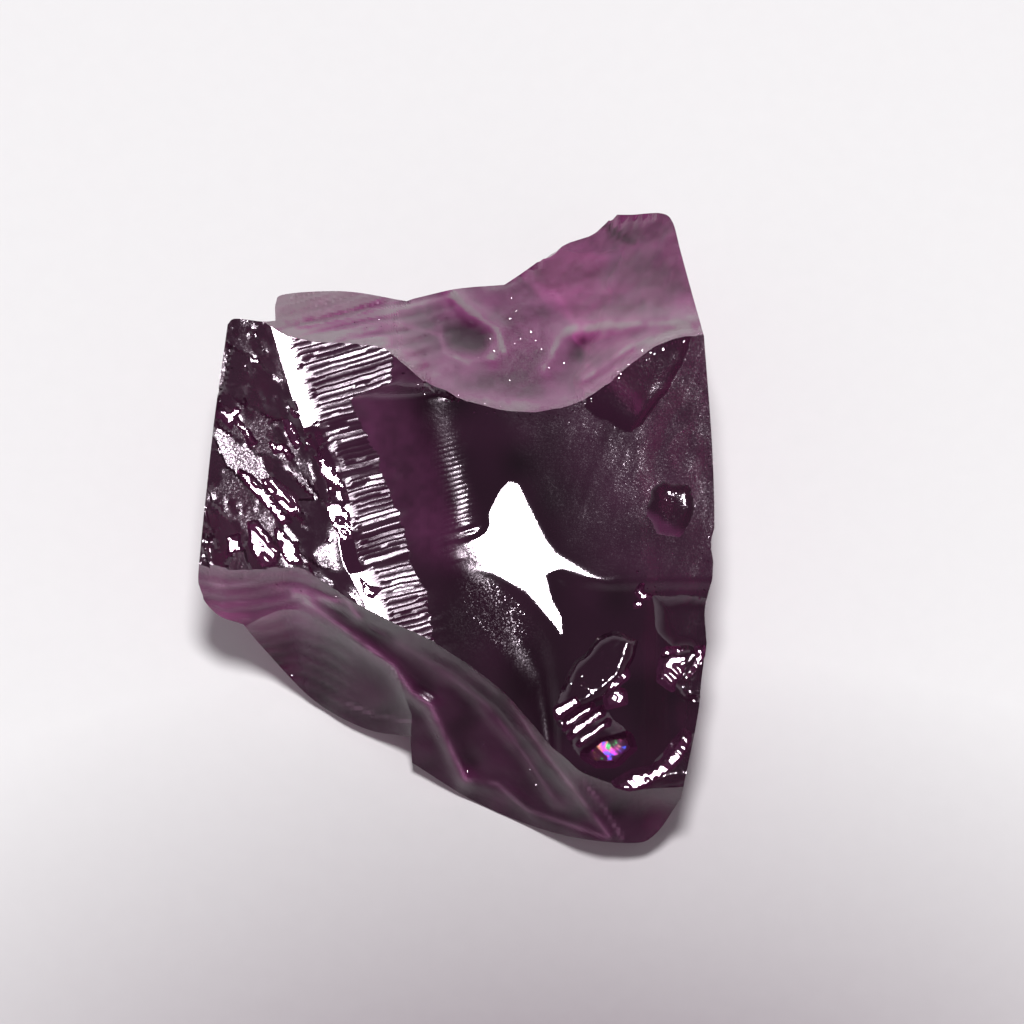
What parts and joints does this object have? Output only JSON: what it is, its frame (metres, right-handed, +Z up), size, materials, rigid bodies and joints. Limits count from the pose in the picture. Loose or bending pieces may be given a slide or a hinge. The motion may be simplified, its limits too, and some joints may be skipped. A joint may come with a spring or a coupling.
{
  "type": "rough alexandrite",
  "caption": "Rough broken lump of dark purple transparent crystal with a glassy leaning top, shell-like breaks, sharp arrises and a flat broken base.",
  "frame": {"origin": "centre of the bounding box, on the flat broken base", "axes": "+Z up; the glassy table leans towards -Y; +Y runs back along the stone to its horn"},
  "size_m": [0.0272, 0.0366, 0.0158],
  "materials": {
    "crystal": "transparent dark purple crystal, glassy breaks"
  },
  "bodies": {
    "root": {"stone": "crystal"}
  },
  "joints": []
}
